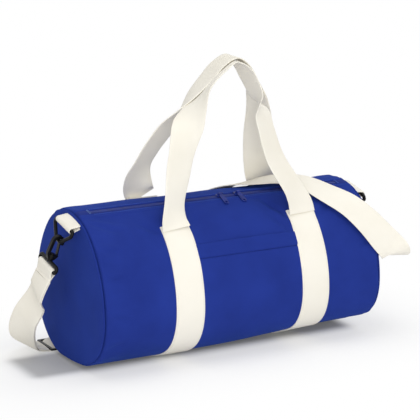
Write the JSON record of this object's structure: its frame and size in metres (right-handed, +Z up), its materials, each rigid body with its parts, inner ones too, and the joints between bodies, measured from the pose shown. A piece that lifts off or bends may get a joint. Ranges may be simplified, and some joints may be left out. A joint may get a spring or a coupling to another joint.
{
  "type": "barrel bag",
  "caption": "Barrel-shaped canvas bag with a top zip, webbing carrying handles and a shoulder strap clipped to rings at the ends.",
  "frame": {"origin": "middle of the bag's footprint, on the surface it stands on", "axes": "+X along the barrel towards the right end as seen from the front, -Y towards the front pocket, +Z up"},
  "size_m": [0.6583, 0.3041, 0.4828],
  "materials": {
    "canvas": "matte woven",
    "binding": "matte tape",
    "webbing": "matte woven",
    "zip": "matte tape",
    "slider": "satin paint",
    "black_plastic": "satin moulded"
  },
  "bodies": {
    "bag": {"barrel_panel": "canvas", "front_pocket": "canvas", "end_panel_left": "canvas", "end_panel_right": "canvas", "seam_binding_left": "binding", "seam_binding_right": "binding", "zip_end_tab_left": "canvas", "zip_end_tab_right": "canvas", "belt_left": "webbing", "belt_right": "webbing", "ring_tab_left": "webbing", "ring_tab_right": "webbing", "zip_tape_front": "zip", "zip_tape_rear": "zip", "zip_coil_front": "zip", "zip_coil_rear": "zip", "shoulder_strap": "webbing", "strap_return": "webbing"},
    "front_handle": {"handle_front": "webbing"},
    "rear_handle": {"handle_rear": "webbing"},
    "left_slider": {"zip_slider_left": "slider"},
    "left_pull": {"pull_tab_left": "slider"},
    "left_ring": {"d_ring_left": "black_plastic"},
    "left_hook": {"snap_hook_left": "black_plastic"},
    "left_gate": {"hook_gate_left": "black_plastic"},
    "left_base": {"swivel_base_left": "black_plastic", "strap_loop_left": "webbing"},
    "right_slider": {"zip_slider_right": "slider"},
    "right_pull": {"pull_tab_right": "slider"},
    "right_ring": {"d_ring_right": "black_plastic"},
    "right_hook": {"snap_hook_right": "black_plastic"},
    "right_gate": {"hook_gate_right": "black_plastic"},
    "right_base": {"swivel_base_right": "black_plastic", "strap_loop_right": "webbing"},
    "adjuster": {"strap_slider": "black_plastic"}
  },
  "joints": [
    {"name": "front_handle_swing", "type": "hinge", "parent": "bag", "child": "front_handle", "pos_m": [0.01, -0.08294, 0.2201], "axis": [1, 0, 0], "range_deg": [0, 130]},
    {"name": "rear_handle_swing", "type": "hinge", "parent": "bag", "child": "rear_handle", "pos_m": [0.01, 0.03981, 0.24821], "axis": [-1, 0, 0], "range_deg": [0, 115]},
    {"name": "left_zip_slide", "type": "slide", "parent": "bag", "child": "left_slider", "axis": [-1, 0, 0], "range_m": [0, 0.225]},
    {"name": "left_pull_flip", "type": "hinge", "parent": "left_slider", "child": "left_pull", "pos_m": [0.005, -0.02602, 0.25361], "axis": [-1, 0, 0], "range_deg": [0, 150]},
    {"name": "left_ring_swing", "type": "hinge", "parent": "bag", "child": "left_ring", "pos_m": [-0.26838, -0.02133, 0.23312], "axis": [0, 0.9748, 0.2233], "range_deg": [0, 70], "deforming": ["shoulder_strap"]},
    {"name": "left_hook_pivot", "type": "hinge", "parent": "left_ring", "child": "left_hook", "pos_m": [-0.27762, -0.01566, 0.20839], "axis": [0, 0.9748, 0.2233], "range_deg": [0, 45]},
    {"name": "left_base_swivel", "type": "hinge", "parent": "left_hook", "child": "left_base", "pos_m": [-0.27762, -0.01566, 0.20839], "axis": [0.342, -0.2098, 0.916], "continuous": true},
    {"name": "left_gate_open", "type": "hinge", "parent": "left_hook", "child": "left_gate", "pos_m": [-0.27862, -0.01009, 0.18405], "axis": [0, -0.9748, -0.2233], "range_deg": [0, 14], "stiffness_Nm_per_rad": 0.01, "springref_deg": -5.73},
    {"name": "right_zip_slide", "type": "slide", "parent": "bag", "child": "right_slider", "axis": [1, 0, 0], "range_m": [0, 0.182]},
    {"name": "right_pull_flip", "type": "hinge", "parent": "right_slider", "child": "right_pull", "pos_m": [0.038, -0.02602, 0.25361], "axis": [-1, 0, 0], "range_deg": [0, 150]},
    {"name": "right_ring_swing", "type": "hinge", "parent": "bag", "child": "right_ring", "pos_m": [0.26838, -0.02133, 0.23312], "axis": [0, -0.9748, -0.2233], "range_deg": [0, 70]},
    {"name": "right_hook_pivot", "type": "hinge", "parent": "right_ring", "child": "right_hook", "pos_m": [0.27762, -0.01566, 0.20839], "axis": [0, -0.9748, -0.2233], "range_deg": [0, 45]},
    {"name": "right_base_swivel", "type": "hinge", "parent": "right_hook", "child": "right_base", "pos_m": [0.27762, -0.01566, 0.20839], "axis": [-0.342, -0.2098, 0.916], "continuous": true},
    {"name": "right_gate_open", "type": "hinge", "parent": "right_hook", "child": "right_gate", "pos_m": [0.27862, -0.01009, 0.18405], "axis": [0, 0.9748, 0.2233], "range_deg": [0, 14], "stiffness_Nm_per_rad": 0.01, "springref_deg": -5.73},
    {"name": "strap_adjust", "type": "slide", "parent": "bag", "child": "adjuster", "axis": [1, 0, 0], "range_m": [0, 0.06], "deforming": ["strap_return"]}
  ]
}
